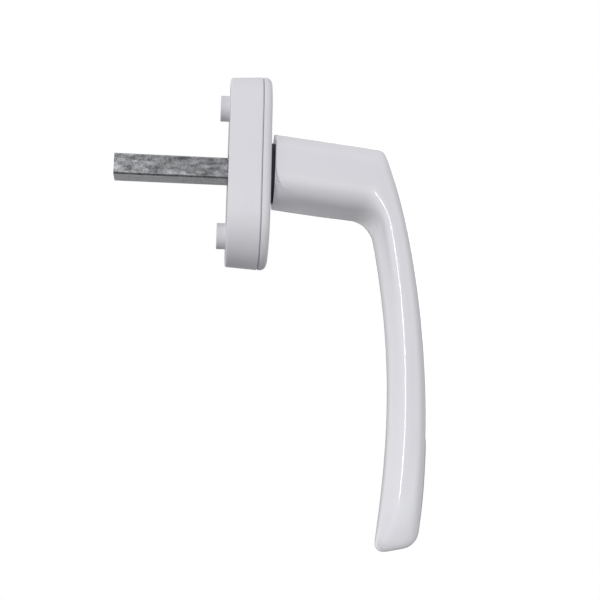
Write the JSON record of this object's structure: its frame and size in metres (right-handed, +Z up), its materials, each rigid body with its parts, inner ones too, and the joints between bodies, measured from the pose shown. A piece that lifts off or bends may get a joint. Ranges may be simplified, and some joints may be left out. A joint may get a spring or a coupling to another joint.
{
  "type": "window handle",
  "caption": "Cranked lever handle for a tilt-and-turn window sash, on an oval rosette with locating lugs and a square spindle.",
  "frame": {"origin": "centre of the rosette's mounting face, on the spindle's axis", "axes": "+Z up; +Y along the spindle, into the sash; the lever reaches out along -Y and hangs down -Z at rest"},
  "size_m": [0.031, 0.098, 0.1489],
  "materials": {
    "white_paint": "glossy white powder coat on die-cast aluminium",
    "white_plastic": "satin white moulded plastic",
    "dark_nylon": "dark grey glass-filled nylon",
    "zinc_plate": "zinc-plated steel with a mottled bloom",
    "zinc_cast": "bare zinc die-casting",
    "spring_steel": "oiled spring steel"
  },
  "bodies": {
    "rosette": {"base": "white_plastic", "back_plate": "zinc_plate", "bearing_bush": "dark_nylon", "wave_washer": "spring_steel", "detent_spring_left": "spring_steel", "detent_spring_right": "spring_steel"},
    "lever": {"lever": "white_paint", "drive_hub": "zinc_cast", "spindle": "zinc_plate", "spindle_pin": "spring_steel", "detent_cam": "zinc_cast", "circlip": "spring_steel"},
    "cover": {"cover": "white_plastic"}
  },
  "joints": [
    {"name": "lever_turn", "type": "hinge", "parent": "rosette", "child": "lever", "pos_m": [0, 0, 0], "axis": [0, -1, 0], "continuous": true, "deforming": ["detent_spring_left", "detent_spring_right"]},
    {"name": "cover_turn", "type": "hinge", "parent": "rosette", "child": "cover", "pos_m": [0, 0, 0], "axis": [0, -1, 0], "range_deg": [0, 90]}
  ]
}
